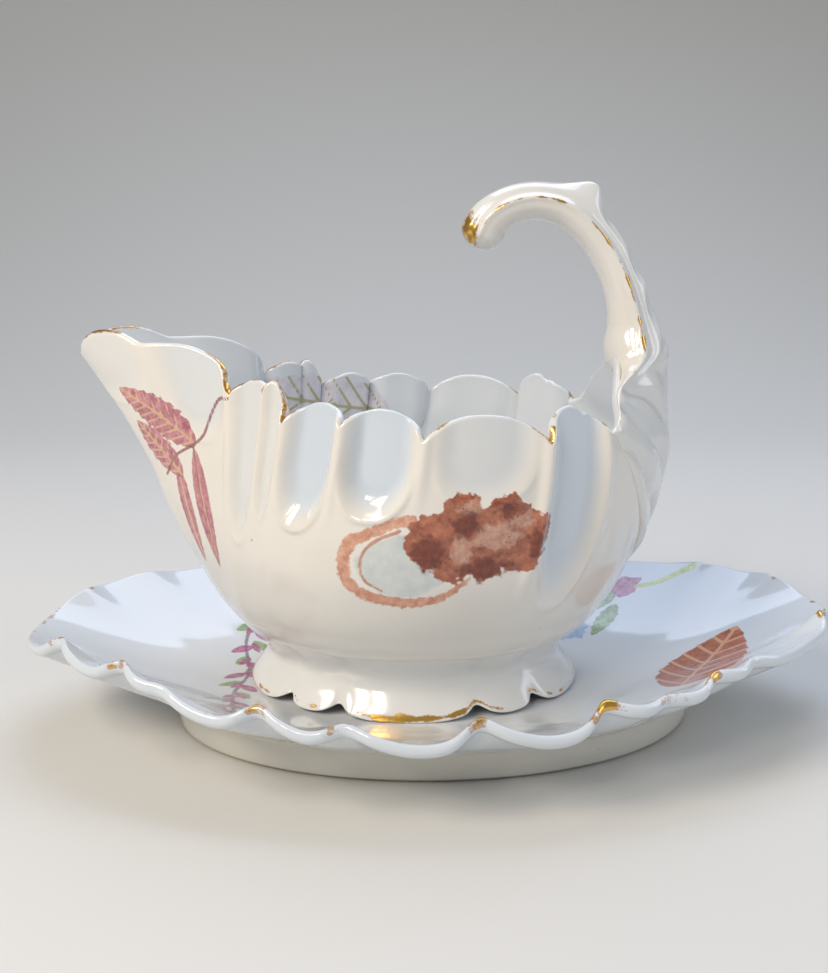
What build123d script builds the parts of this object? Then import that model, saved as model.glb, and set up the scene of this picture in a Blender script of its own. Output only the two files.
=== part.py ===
from build123d import *

import os
from math import cos, exp, pi, radians, sin

# Gravy boat on its underplate, in glazed porcelain.
#
# Frame: millimetres, +Z up. The origin is the centre of the underplate on the table. The spout points
# along -X and the handle stands at +X, and the boat is the same on both sides of the XZ plane.

os.makedirs("parts", exist_ok=True)

# ---- driving dimensions -------------------------------------------------------------------------
plate_length = 220.0
plate_width = 142.0
plate_thickness = 3.2
well_z = 9.6             # top of the flat well that the boat stands in
well_share = 0.47        # how much of the way to the rim is flat well
ring_length = 138.0      # the oval ring that the underplate stands on
ring_width = 92.0
ring_wall = 4.0
ring_foot_width = 2.4    # flat unglazed land at the bottom of the ring

seat_gap = 0.2           # between the boat's foot and the well
waist_z = 22.0           # where the bowl is joined to its foot
wall = 3.0
floor_thickness = 4.0
spread_at_foot = 4.5     # how far the foot spreads out from the waist

# Reaches that only need to clear the object.
above_plate = 60.0
above_boat = 130.0
beside_boat = 60.0
past_handle = 8.0

# ---- underplate ---------------------------------------------------------------------------------
# Where the rim is pinched in, in degrees round the oval from +X. The lobes lie between them.
rim_pinches = (
    -153, -137, -125, -113, -101, -85, -69, -59, -49, -38, -16,
    17, 34, 48, 61, 75, 90, 104, 118, 133, 147, 163,
)
pinch_depth = 2.4        # how far a pinch draws the rim in
pinch_lift = 2.2         # and how far it lifts it
pinch_width = 3.2        # degrees over which it is drawn in, each way
lift_width = 4.5         # and over which it is lifted
ruffle_start = 0.6       # how much of the way to the rim the ruffles begin
ruffle_limit = 1.2       # and they stop growing just outside it
end_point = 0.05         # how much the oval's two ends are drawn out to a point
flat_sides = 0.025       # and how much its four quarters are drawn in
side_rim_z = 22.5        # rim height at the middle of the long sides
shoulder_rise = 13.0     # how much higher the rim is towards the ends
tip_drop = 9.5           # and how much of that is lost again at the two tips
shoulder_power = 2.2     # higher powers keep each of the two nearer to the ends
tip_power = 12
rise_power = 1.55        # how late the dish turns up between its well and its rim


def bell(distance, half_width):
    """1 at no distance, falling smoothly to 0 past the half width."""
    return exp(-((distance / half_width) ** 2))


def around_pinches(degrees, half_width):
    """1 at a pinch, falling to 0 between pinches."""
    nearest = min(abs((degrees - p + 180) % 360 - 180) for p in rim_pinches)
    return bell(nearest, half_width)


def plate_outline(degrees):
    """A point of the rim, seen from above."""
    t = radians(degrees)
    drawn_in = flat_sides * sin(2 * t) ** 2
    drawn_out = 1 + end_point * cos(t) ** 6 - drawn_in
    across = plate_length / 2 / (1 + end_point)
    pinched = pinch_depth * around_pinches(degrees, pinch_width)
    x = (across * drawn_out - pinched) * cos(t)
    y = (plate_width / 2 * (1 - drawn_in) - pinched) * sin(t)
    return x, y


def rim_height(degrees):
    """Height of the rim between pinches: low along the sides, high at the shoulders, lower at the tips."""
    endwise = abs(cos(radians(degrees)))
    return side_rim_z + shoulder_rise * endwise ** shoulder_power - tip_drop * endwise ** tip_power


def dish_height(x, y):
    """Height of the dish's upper face at a point of the plan: a flat well, then a rising curve to the rim."""
    direction = Vector(x / plate_length, y / plate_width)
    share = 2 * direction.length
    if share <= well_share:
        return well_z
    degrees = Vector(1, 0).get_signed_angle(direction)
    rise = ((share - well_share) / (1 - well_share)) ** rise_power
    near_rim = max(0.0, min(ruffle_limit, (share - ruffle_start) / (1 - ruffle_start))) ** 2
    ruffle = pinch_lift * around_pinches(degrees, lift_width) * near_rim
    return well_z + (rim_height(degrees) - well_z) * rise + ruffle


columns, rows = 60, 40   # of the grid of heights, which reaches past the rim all round
grid_margin = 10.0
grid_length = plate_length + 2 * grid_margin
grid_width = plate_width + 2 * grid_margin
grid_x = [grid_length * (i / columns - 0.5) for i in range(columns + 1)]
grid_y = [grid_width * (j / rows - 0.5) for j in range(rows + 1)]
dish_points = [[Vector(x, y, dish_height(x, y)) for y in grid_y] for x in grid_x]
dish_face = Face.make_surface_from_array_of_points(dish_points, tol=0.05, smoothing=None, min_deg=3, max_deg=3)
dish_slab = Solid.extrude(dish_face, Vector(0, 0, -plate_thickness))

with BuildPart() as underplate_dish:
    with BuildSketch():
        with BuildLine():
            Spline([plate_outline(d) for d in range(0, 360, 3)], periodic=True)
        make_face()
    extrude(amount=above_plate)
    add(dish_slab, mode=Mode.INTERSECT)

ring_draft = 1.5         # how much narrower the ring is at its foot
ring_taper = 1.0         # and how much narrower again where it meets the dish
ring_widest_z = 4.0
ring_top_z = 22.0        # buried in the dish, which cuts it off


def ring_oval(inset):
    """An oval as big as the ring at its widest, less an inset."""
    return Ellipse(ring_length / 2 - inset, ring_width / 2 - inset)


with BuildPart() as underplate_foot_ring:
    with BuildSketch():
        ring_oval(ring_draft)
    with BuildSketch(Plane.XY.offset(ring_widest_z)):
        ring_oval(0)
    with BuildSketch(Plane.XY.offset(ring_top_z)):
        ring_oval(ring_taper)
    loft()
    with BuildSketch():
        ring_oval(ring_draft + ring_foot_width)
    with BuildSketch(Plane.XY.offset(ring_top_z)):
        ring_oval(ring_taper + ring_wall)
    loft(mode=Mode.SUBTRACT)
    under_dish = Solid.extrude(
        dish_face.moved(Location((0, 0, -plate_thickness))), Vector(0, 0, above_plate))
    add(under_dish, mode=Mode.SUBTRACT)

# ---- bowl ---------------------------------------------------------------------------------------
# Each level of the bowl: height, centre, half length, half width, and how far the spout draws it out.
bowl_levels = (
    (waist_z, -5.5, 39.5, 29.0, 0.0),
    (27.0, -5.2, 46.0, 35.5, 0.5),
    (34.0, -4.5, 51.5, 41.0, 2.5),
    (44.0, -2.5, 55.0, 46.0, 7.0),
    (58.0, 0.0, 57.0, 49.5, 14.5),
    (72.0, 2.5, 56.5, 50.5, 23.0),
    (86.0, 4.0, 54.5, 51.0, 34.0),
    (98.0, 4.5, 53.0, 51.0, 44.0),
    (112.0, 4.5, 52.5, 51.0, 54.0),
)
throat_spread = 0.45     # radians of the oval that the spout is drawn from
throat_pinch = 0.12      # how much the oval narrows behind the spout
throat_pinch_spread = 0.6
spout_wall_share = 0.7   # how much of the wall is taken back along the narrow end of the spout
spout_end_spread = 0.3
# Where the rim's notches and the ridges below them are, in degrees from the handle to the spout.
flute_ridges = (62, 90, 110, 127, 137)
ridge_height = 2.0       # how far a ridge stands out between two flutes
ridge_width = 3.5        # degrees over which it falls away, each way
ridge_start_z = 40.0     # where the ridges begin, and where they are at their highest
ridge_full_z = 85.0


def bowl_point(level, degrees, inset=0.0):
    """A point of the bowl's outline at one level; inset moves it inwards."""
    height, centre, half_length, half_width, spout = level
    t = radians(abs(degrees))
    from_spout = pi - t
    fade = max(0.0, min(1.0, (height - ridge_start_z) / (ridge_full_z - ridge_start_z)))
    nearest = min(abs(abs(degrees) - ridge) for ridge in flute_ridges)
    ridge = ridge_height * fade * bell(nearest, ridge_width)
    x = centre + (half_length + ridge - inset) * cos(t) - spout * bell(from_spout, throat_spread)
    x += inset * spout_wall_share * bell(from_spout, spout_end_spread)
    y = (half_width + ridge - inset) * sin(t) * (1 - throat_pinch * bell(from_spout, throat_pinch_spread))
    return x, -y if degrees < 0 else y


def bowl_solid(inset, levels):
    """A solid through the outlines of the given levels."""
    with BuildPart() as through_levels:
        for level in levels:
            with BuildSketch(Plane.XY.offset(level[0])):
                with BuildLine():
                    Spline([bowl_point(level, d, inset) for d in range(-180, 180, 4)], periodic=True)
                make_face()
        loft()
    return through_levels.part


inner_floor = (waist_z + floor_thickness, -5.2, 41.0, 31.0, 0.5)
outside = bowl_solid(0.0, bowl_levels)
inside = bowl_solid(wall, (inner_floor, *bowl_levels[2:]))

# The rim seen from the side, from the spout's tip to the handle: each lobe is an arc between two notches.
rim_lobes = (
    ((-104, 97), (-82, 107.5), (-73, 104.0)),
    ((-73, 104.0), (-63, 103.8), (-48, 93.0)),
    ((-48, 93.0), (-44.5, 96.3), (-40.8, 93.8)),
    ((-40.8, 93.8), (-36.5, 94.4), (-34, 87.6)),
    ((-34, 87.6), (-27, 91.4), (-20.4, 87.2)),
    ((-20.4, 87.2), (-10.4, 90.6), (-1.4, 84.2)),
    ((-1.4, 84.2), (12, 89.6), (27, 83.6)),
    ((27, 83.6), (33.5, 89.8), (43, 84.6)),
    ((43, 84.6), (51.5, 89.0), (58, 98.0)),
)

with BuildPart() as above_rim:
    with BuildSketch(Plane.XZ):
        with BuildLine():
            for start, crest, end in rim_lobes:
                ThreePointArc(start, crest, end)
            spout_x = rim_lobes[0][0][0]
            end_x, end_z = rim_lobes[-1][-1]
            cut_x = end_x + past_handle
            Polyline((end_x, end_z), (cut_x, end_z), (cut_x, above_boat), (spout_x, above_boat),
                     rim_lobes[0][0])
        make_face()
    extrude(amount=beside_boat, both=True)

with BuildPart() as bowl:
    add(outside)
    add(inside, mode=Mode.SUBTRACT)
    add(above_rim.part, mode=Mode.SUBTRACT)

# ---- foot ---------------------------------------------------------------------------------------
foot_notches = (43, 67, 115, 137)       # where the skirt is notched between two lobes, in degrees
notch_depth = 2.6                       # how far a notch is drawn in at the skirt's edge
notch_width = 5.0                       # degrees over which it is drawn in, each way
spread_power = 1.6                      # how late the skirt turns outwards
side_spread_share = 0.8                 # how much of its spread it has along the sides
foot_z = well_z + seat_gap
foot_wall = 3.0
foot_heights = (foot_z, 13.0, 17.0, waist_z)


def foot_point(height, degrees, inset=0.0):
    """A point of the foot's outline at a height between the well and the waist."""
    share = (waist_z - height) / (waist_z - foot_z)
    t = radians(abs(degrees))
    nearest = min(abs(abs(degrees) - notch) for notch in foot_notches)
    spread = spread_at_foot * share ** spread_power
    notch = notch_depth * share * bell(nearest, notch_width)
    _, waist_x, half_length, half_width, _ = bowl_levels[0]
    x = waist_x + (half_length + spread - notch - inset) * cos(t)
    y = (half_width + spread * side_spread_share - notch - inset) * sin(t)
    return x, -y if degrees < 0 else y


def foot_solid(inset):
    """The foot as a solid block; inset draws it in all round."""
    with BuildPart() as through_heights:
        for height in foot_heights:
            with BuildSketch(Plane.XY.offset(height)):
                with BuildLine():
                    Spline([foot_point(height, d, inset) for d in range(-180, 180, 5)], periodic=True)
                make_face()
        loft()
    return through_heights.part


with BuildPart() as foot:
    add(foot_solid(0.0))
    add(foot_solid(foot_wall), mode=Mode.SUBTRACT)

# ---- handle -------------------------------------------------------------------------------------
# A broad leaf is laid on the outside of the bowl's end. The stem rises from it, narrows above the
# rim, leans inwards and curls over towards the spout. Each station of the stem: x, z, half
# thickness and half width.
leaf_thickness = 2.8
leaf_start_x = 40.0
leaf_outline = ((0, 46), (9, 52), (17, 62), (24, 76), (27, 84), (22, 91), (13, 97), (0, 99))
stem_stations = (
    (60.4, 70.0, 2.6, 12.0),
    (59.6, 82.0, 4.2, 17.0),
    (57.4, 93.0, 5.8, 15.5),
    (54.0, 103.0, 6.4, 10.0),
    (51.0, 113.0, 5.3, 7.2),
    (46.8, 123.0, 4.7, 6.4),
    (40.6, 131.6, 4.6, 6.2),
    (33.0, 137.2, 4.6, 6.2),
    (25.0, 138.3, 4.6, 6.2),
    (18.2, 136.0, 4.8, 6.0),
    (13.6, 131.0, 5.2, 5.6),
)
curl_radius = 5.5
spur_outline = ((36.0, 137.0), (38.5, 141.4), (43.2, 143.0), (44.6, 141.0), (43.8, 134.0))
spur_half_width = 1.8


def stem_plane(index):
    """The plane square to the stem at one station."""
    before = stem_stations[max(index - 1, 0)]
    after = stem_stations[min(index + 1, len(stem_stations) - 1)]
    x, z = stem_stations[index][:2]
    return Plane(origin=(x, 0, z), x_dir=(0, 1, 0), z_dir=(after[0] - before[0], 0, after[1] - before[1]))


below_rim = outside - above_rim.part
around_bowl = bowl_solid(-leaf_thickness, bowl_levels[2:])

with BuildPart() as leaf:
    with BuildSketch(Plane.YZ.offset(leaf_start_x)):
        with BuildLine():
            Spline(leaf_outline)
            Line(leaf_outline[-1], leaf_outline[0])
        make_face()
        mirror(about=Plane.YZ)
    extrude(amount=leaf_start_x)
    add(around_bowl, mode=Mode.INTERSECT)
    add(outside, mode=Mode.SUBTRACT)

with BuildPart() as handle:
    for index, (_, _, half_thickness, half_width) in enumerate(stem_stations):
        with BuildSketch(stem_plane(index)):
            Ellipse(half_width, half_thickness)
    loft()
    curl_x, curl_z = stem_stations[-1][:2]
    with Locations((curl_x, 0, curl_z)):
        Sphere(curl_radius)
    with BuildSketch(Plane.XZ):
        with BuildLine():
            Polyline(*spur_outline, close=True)
        make_face()
    extrude(amount=spur_half_width, both=True)
    add(leaf.part)
    add(below_rim, mode=Mode.SUBTRACT)

# ---- the pieces as they are written -------------------------------------------------------------
pieces = {
    "underplate_dish": underplate_dish,
    "underplate_foot_ring": underplate_foot_ring,
    "boat_bowl": bowl,
    "boat_foot": foot,
    "boat_handle": handle,
}
for name, piece in pieces.items():
    piece.part.label = name
    export_step(piece.part, f"parts/{name}.step")
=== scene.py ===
import math

import bpy
import numpy as np
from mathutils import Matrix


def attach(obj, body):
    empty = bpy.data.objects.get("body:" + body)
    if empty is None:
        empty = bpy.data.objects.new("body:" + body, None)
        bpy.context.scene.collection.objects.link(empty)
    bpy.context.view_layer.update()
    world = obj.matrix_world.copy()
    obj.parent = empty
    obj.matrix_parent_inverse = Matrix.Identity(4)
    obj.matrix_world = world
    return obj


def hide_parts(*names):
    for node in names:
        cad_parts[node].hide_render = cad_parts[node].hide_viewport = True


# A porcelain gravy boat with painted sprays and worn gilding, standing on its ruffled underplate.
# Shapes are worked out in millimetres and turned into metres when a mesh is made. Angles are degrees:
# round the boat from the handle at 0 to the spout at 180, and round the underplate from its right tip.
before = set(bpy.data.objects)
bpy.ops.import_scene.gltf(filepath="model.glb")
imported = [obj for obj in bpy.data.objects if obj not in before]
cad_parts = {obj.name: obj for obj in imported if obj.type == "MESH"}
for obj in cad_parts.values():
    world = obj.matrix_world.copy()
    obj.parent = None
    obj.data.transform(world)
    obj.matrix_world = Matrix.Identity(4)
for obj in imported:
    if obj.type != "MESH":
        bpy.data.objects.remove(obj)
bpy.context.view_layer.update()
mm = 0.001
nowhere = -9.0           # stands for a point well outside any painted shape


def linear(hexColour):
    channels = [int(hexColour[i:i + 2], 16) / 255 for i in (1, 3, 5)]
    return [c / 12.92 if c <= 0.04045 else ((c + 0.055) / 1.055) ** 2.4 for c in channels] + [1.0]


def smooth(low, high, value):
    t = np.clip((value - low) / (high - low), 0, 1)
    return t * t * (3 - 2 * t)


def bell(distance, width):
    return np.exp(-((distance / width) ** 2))


# A smooth curve through the knots, read at any place along them.
def through(knots, values, at):
    knots, values = np.asarray(knots, float), np.asarray(values, float)
    slopes = np.gradient(values, knots)
    at = np.clip(at, knots[0], knots[-1])
    i = np.clip(np.searchsorted(knots, at, side="right") - 1, 0, len(knots) - 2)
    span = knots[i + 1] - knots[i]
    t = (at - knots[i]) / span
    rise = values[i] * (2 * t ** 3 - 3 * t ** 2 + 1) + values[i + 1] * (3 * t ** 2 - 2 * t ** 3)
    return rise + span * (slopes[i] * (t ** 3 - 2 * t ** 2 + t) + slopes[i + 1] * (t ** 3 - t ** 2))


# Slow hand-made unevenness, as a few crossed waves that close up round the piece.
def waver(points, wavelength, seed):
    x, y, z = points[..., 0], points[..., 1], points[..., 2]
    turn = 2 * math.pi / wavelength
    return (np.sin(x * turn + seed) * np.sin(y * turn * 0.8 + seed * 2.1)
            + np.sin(z * turn * 1.1 + seed * 0.7) * np.sin((x + y) * turn * 0.6 + seed)) / 2


def fullTurn(columns):
    return np.linspace(-180, 180, columns, endpoint=False)[None, :]


def surfaceNormals(points):
    around = np.roll(points, -1, 1) - np.roll(points, 1, 1)
    normals = np.cross(around, np.gradient(points, axis=0))
    return normals / np.maximum(np.linalg.norm(normals, axis=2, keepdims=True), 1e-9)


# A rounded edge that joins the last row of one side to the first row of the other.
def roundedLip(start, end, up, steps, fullness=0.9):
    middle, half = (start + end) / 2, (start - end) / 2
    reach = np.linalg.norm(half, axis=-1, keepdims=True) * fullness
    turns = [math.pi * k / (steps + 1) for k in range(1, steps + 1)]
    return np.stack([middle + half * math.cos(t) + up * reach * math.sin(t) for t in turns])


# One closed mesh from a grid of points whose columns run round the piece.
def gridPiece(name, points, fields, body, node, wrapRows=False):
    rows, columns = points.shape[:2]
    index = np.arange(rows * columns).reshape(rows, columns)
    if wrapRows:
        index = np.vstack([index, index[:1]])
    ring = np.hstack([index, index[:, :1]])
    quads = np.stack([ring[:-1, :-1], ring[:-1, 1:], ring[1:, 1:], ring[1:, :-1]], -1).reshape(-1, 4)
    flat = points.reshape(-1, 3)
    faces = [quads]
    if not wrapRows:
        # a fan of triangles closes each end
        first, last = len(flat), len(flat) + 1
        flat = np.vstack([flat, points[0].mean(0), points[-1].mean(0)])
        faces.append(np.stack([np.full(columns, first), ring[0, 1:], ring[0, :-1]], -1))
        faces.append(np.stack([np.full(columns, last), ring[-1, :-1], ring[-1, 1:]], -1))
    corner = flat[quads]
    volume = np.einsum("ij,ij->i", corner[:, 0], np.cross(corner[:, 1], corner[:, 2])
                       + np.cross(corner[:, 2], corner[:, 3])).sum()
    if volume < 0:
        faces = [block[:, ::-1] for block in faces]
    mesh = bpy.data.meshes.new(name)
    mesh.from_pydata(flat * mm, [], [list(face) for block in faces for face in block.tolist()])
    mesh.shade_smooth()
    for field, values in fields.items():
        grid = np.broadcast_to(np.asarray(values, float), (rows, columns))
        values = grid.reshape(-1)
        if not wrapRows:
            values = np.concatenate([values, [grid[0].mean(), grid[-1].mean()]])
        layer = mesh.attributes.new(field, "FLOAT", "POINT")
        layer.data.foreach_set("value", values.astype(np.float32))
    piece = bpy.data.objects.new(name, mesh)
    bpy.context.scene.collection.objects.link(piece)
    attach(piece, body)
    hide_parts(node)
    print(name, "made with", len(flat), "points")
    return piece


# The painted shapes are kept as distances in mm to the shape's edge, positive inside it.
def together(shapes):
    return np.maximum.reduce(list(shapes))


# A leaf also gives how far along and across it a point lies.
def leafShape(x, y, base, tip, width, teeth=0, toothDepth=0.0, bend=0.0):
    dx, dy = tip[0] - base[0], tip[1] - base[1]
    length = math.hypot(dx, dy)
    along = ((x - base[0]) * dx + (y - base[1]) * dy) / length ** 2
    across = ((y - base[1]) * dx - (x - base[0]) * dy) / length
    inside = np.clip(along, 0, 1)
    across = across - bend * np.sin(math.pi * inside)
    half = width / 2 * np.sin(math.pi * inside ** 0.8) ** 0.75
    half = half * (1 - toothDepth * ((inside * teeth - np.abs(across) * teeth * 0.4 / length) % 1.0))
    beyond = np.maximum(np.maximum(-along, along - 1), 0) * length
    return half - np.abs(across) - beyond * 2, along * length, across


# Distance to a leaf's midrib or to the nearest of its slanting side veins.
def veinLines(along, across, spacing, slant, sideThinness=0.9, ribThinness=1.0):
    sides = np.abs(((along - np.abs(across) * slant) % spacing) - spacing / 2) * sideThinness
    return np.minimum(np.abs(across) * ribThinness, sides)


def strokeShape(x, y, route, startWidth, endWidth):
    corners = np.array(route, float)
    stretches = len(corners) - 1
    bends = np.linspace(0, stretches, 6 * stretches + 1)     # six steps to each stretch
    route = np.stack([through(np.arange(len(corners)), corners[:, k], bends) for k in range(2)], -1)
    spans = len(route) - 1
    shapes = []
    for i in range(spans):
        (ax, ay), (bx, by) = route[i], route[i + 1]
        dx, dy = bx - ax, by - ay
        t = np.clip(((x - ax) * dx + (y - ay) * dy) / (dx * dx + dy * dy), 0, 1)
        width = startWidth + (endWidth - startWidth) * (i + t) / spans
        shapes.append(width / 2 - np.hypot(x - ax - dx * t, y - ay - dy * t))
    return together(shapes)


def blobShape(x, y, centre, radii, ragged=0.0, lobes=7, phase=0.0):
    dx, dy = (x - centre[0]) / radii[0], (y - centre[1]) / radii[1]
    turn = np.arctan2(dy, dx)
    ripple = np.sin(turn * lobes + phase) * 0.6 + np.sin(turn * (lobes * 2 + 1) + phase * 3) * 0.4
    return (1 + ragged * ripple - np.hypot(dx, dy)) * min(radii)


# The bowl, with its scalloped rim, thumbprint flutes and drawn-out spout.
bowl = {
    # height, centre, half length, half width, and how far the spout draws the oval out
    "levels": (
        (22.0, -5.5, 37.0, 26.6, 0.0), (27.0, -5.2, 46.0, 35.5, 0.5), (34.0, -4.5, 51.5, 41.0, 2.5),
        (44.0, -2.5, 55.0, 46.0, 7.0), (58.0, 0.0, 57.0, 49.5, 14.5), (72.0, 2.5, 56.5, 50.5, 23.0),
        (86.0, 4.0, 54.5, 51.0, 34.0), (98.0, 4.5, 53.0, 51.0, 44.0), (112.0, 4.5, 52.5, 51.0, 54.0),
    ),
    "throat": 0.45,          # radians that the spout is drawn from
    "throatPinch": (0.12, 0.6),
    # scallops: start and end angle, the rim's height at each, the crest, and how far along it comes
    "scallops": (
        (44.0, 65.0, 82.2, 81.4, 89.9, 0.62), (65.0, 95.5, 81.4, 82.7, 88.5, 0.5),
        (95.5, 116.5, 82.7, 85.2, 89.7, 0.5), (116.5, 133.5, 85.2, 84.6, 90.6, 0.52),
        (133.5, 139.5, 84.6, 91.6, 93.4, 0.6), (139.5, 147.5, 91.6, 90.8, 94.6, 0.5),
    ),
    "archPower": 2.5,
    "nick": (53.5, 1.3, 1.8),            # a small dent in the rim: angle, depth and half width
    "spoutStart": 147.0,
    "spoutRim": ((147.5, 150, 153, 156, 159, 161.5, 164.5, 168, 172, 176, 180),
                 (90.8, 97.4, 100.8, 102.4, 102.6, 102.4, 104.9, 105.4, 103.6, 101.2, 99.6)),
    "wingRim": ((0, 7, 11, 16, 22, 30, 38, 44), (99.6, 99.0, 96.6, 94.0, 90.8, 87.2, 84.0, 82.2)),
    "wingLean": 8.0,         # how far the end wall leans in at the top
    "wingTuck": 4.2,         # how much further in the wings lean at each side of the stem
    # thumbprint flutes: start and end angle, depth, and the heights where the print rounds out
    "flutes": (
        (46.5, 64.0, 2.5, 68.0, 42.0), (68.0, 92.5, 1.5, 82.0, 69.0), (97.0, 115.2, 3.3, 79.0, 65.5),
        (117.8, 132.4, 3.2, 78.0, 62.0), (134.2, 139.0, 1.0, 78.0, 60.0), (140.2, 147.0, 1.5, 76.0, 56.0),
        (148.6, 160.0, 1.7, 94.0, 80.0), (162.0, 179.9, 0.8, 98.0, 88.0),
    ),
    "pushedUp": 0.16,        # share of a print's depth that is pushed up along its bottom
    # ridges between the prints: angle, height, half width and where they fade out
    "ridges": (
        (65.0, 1.5, 1.7, 46.0), (95.0, 0.8, 1.5, 68.0), (116.3, 0.9, 1.3, 65.0), (133.3, 0.8, 1.2, 62.0),
        (139.6, 0.7, 1.0, 62.0), (147.8, 0.9, 1.3, 60.0), (161.0, 0.6, 1.6, 90.0), (46.0, 0.8, 1.8, 54.0),
    ),
    "wall": 2.7,
    "thinnedRim": 0.5,
    "innerRelief": 0.7,      # share of the flutes that shows on the inside
    "floorTop": 26.0,
    "floorCentre": -5.2,
    "columns": 640,
    "rows": 170,
    "hiddenRows": 34,        # rows of the outside that lie below the rounded floor
    "underRows": 14,
    "lipRows": 9,
}


def rimHeight(angle):
    height = through(*bowl["wingRim"], angle)
    for start, end, startHeight, endHeight, crest, place in bowl["scallops"]:
        t = np.clip((angle - start) / (end - start), 0, 1)
        straight = startHeight + (endHeight - startHeight) * t
        arch = 1 - np.abs(2 * t ** (math.log(0.5) / math.log(place)) - 1) ** bowl["archPower"]
        lobe = straight + (crest - (startHeight + endHeight) / 2) * arch
        height = np.where((angle >= start) & (angle <= end), lobe, height)
    height = np.where(angle > bowl["spoutStart"], through(*bowl["spoutRim"], angle), height)
    place, depth, width = bowl["nick"]
    return height - depth * bell(angle - place, width)


def fluteRelief(angle, height):
    relief = np.zeros(np.broadcast(angle, height).shape)
    for start, end, depth, top, bottom in bowl["flutes"]:
        across = (angle - (start + end) / 2) / ((end - start) / 2)
        below = np.maximum((top - height) / (top - bottom), 0)
        hollow = 1 - np.abs(across) ** 2.4 - below ** 2.2
        relief -= depth * smooth(-0.06, 0.8, hollow)
        relief += bowl["pushedUp"] * depth * bell(hollow + 0.12, 0.14) * smooth(0.2, 0.8, below)
    for place, tall, width, bottom in bowl["ridges"]:
        relief += tall * smooth(bottom - 6, bottom + 14, height) * bell(angle - place, width)
    # the lower body keeps a trace of the flutes
    trace = smooth(112, 130, angle) * smooth(30, 46, height) * (1 - smooth(58, 70, height))
    return relief + 0.16 * np.cos((angle - 133.3) * math.pi / 7.0) * trace


def wallPoint(angle, height, reliefShare=1.0):
    levels = np.array(bowl["levels"])
    centre, halfLength, halfWidth, spout = (
        through(levels[:, 0], levels[:, k], height) for k in range(1, 5))
    side, turn = np.sign(angle), np.radians(np.abs(angle))
    fromSpout = math.pi - turn
    relief = fluteRelief(np.abs(angle), height) * reliefShare
    nearStem = np.cos(np.clip(turn / 0.9, 0, 1) * math.pi / 2) ** 1.5
    lean = bowl["wingLean"] * smooth(72, 106, height) * nearStem
    lean = lean + bowl["wingTuck"] * bell(np.degrees(turn) - 24, 16) * smooth(76, 90, height)
    narrowing, narrowSpread = bowl["throatPinch"]
    x = centre + (halfLength + relief) * np.cos(turn) - spout * bell(fromSpout, bowl["throat"]) - lean
    y = (halfWidth + relief) * np.sin(turn) * (1 - narrowing * bell(fromSpout, narrowSpread)) * side
    return np.stack([x, y, height + np.zeros_like(x)], -1)


# The sprays on the bowl, as x and height in mm. Both sides carry the same ones.
bowlSprays = {
    # base, tip, width, teeth, how deep they are cut, bend, and the spacing of the side veins, if any
    "mauveLeaves": (
        ((-66.0, 73.0), (-59.4, 46.0), 3.6, 0, 0.0, -0.6, None),
        ((-60.2, 77.0), (-54.6, 46.0), 4.4, 0, 0.0, -0.8, None),
        ((-64.5, 69.5), (-77.5, 83.0), 7.6, 6, 0.2, 0.0, 2.4),
        ((-59.5, 78.0), (-82.0, 91.5), 10.0, 9, 0.22, -0.7, 2.6),
    ),
    # route, start width and end width
    "stems": (
        (((-49.5, 90.6), (-52.5, 90.0), (-55.0, 86.0), (-57.2, 80.8), (-60.5, 78.0), (-66.0, 74.6),
          (-69.6, 69.0)), 0.9, 0.7),
        (((-60.2, 78.0), (-60.2, 75.0), (-58.6, 62.0), (-55.0, 47.0)), 0.6, 0.4),
    ),
    # heads of the rust flower: middle and size, then its lights and darks: middle and two radii
    "heads": (
        (0.5, 60.4, 6.6), (4.4, 54.8, 4.4), (7.2, 66.0, 5.6), (11.8, 55.6, 5.0), (13.2, 62.0, 7.0),
        (17.8, 66.8, 4.6), (20.4, 57.8, 5.8), (23.6, 62.6, 4.4), (7.4, 60.0, 4.4),
    ),
    "lights": (
        (14.8, 61.6, 5.2, 3.2), (7.0, 58.2, 2.0, 4.0), (21.0, 64.8, 2.6, 2.0), (9.0, 68.4, 2.4, 1.6),
    ),
    "darks": (
        (-0.6, 57.6, 3.8, 4.2), (12.2, 53.4, 6.0, 2.6), (8.2, 64.4, 3.2, 3.0), (24.4, 59.4, 2.0, 3.4),
        (17.4, 67.6, 2.4, 1.8),
    ),
    "ribbon": (
        (((-4.0, 65.8), (-8.6, 64.6), (-14.0, 62.2), (-18.8, 59.8)), 2.2, 3.0),
        (((-18.2, 60.2), (-20.2, 56.0), (-19.6, 50.4), (-15.0, 46.6), (-6.8, 45.0)), 3.2, 2.4),
        (((-6.8, 45.0), (0.6, 45.8), (5.6, 48.6), (9.0, 51.6)), 2.6, 0.9),
    ),
    "ribbonEdge": (((-7.0, 63.0), (-13.0, 60.2), (-16.2, 56.0), (-15.6, 50.8), (-11.4, 48.0)), 0.9, 0.6),
    "oval": ((-6.6, 54.2), (10.6, 7.6)),
    "innerLeaf": ((-13.5, 78.5), (-54.0, 88.5), 19.0, 8, 0.16, 1.0),
    "innerVeins": 4.6,
    "innerLow": 60.0,        # the leaf inside the rim goes no lower than this
}


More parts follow.
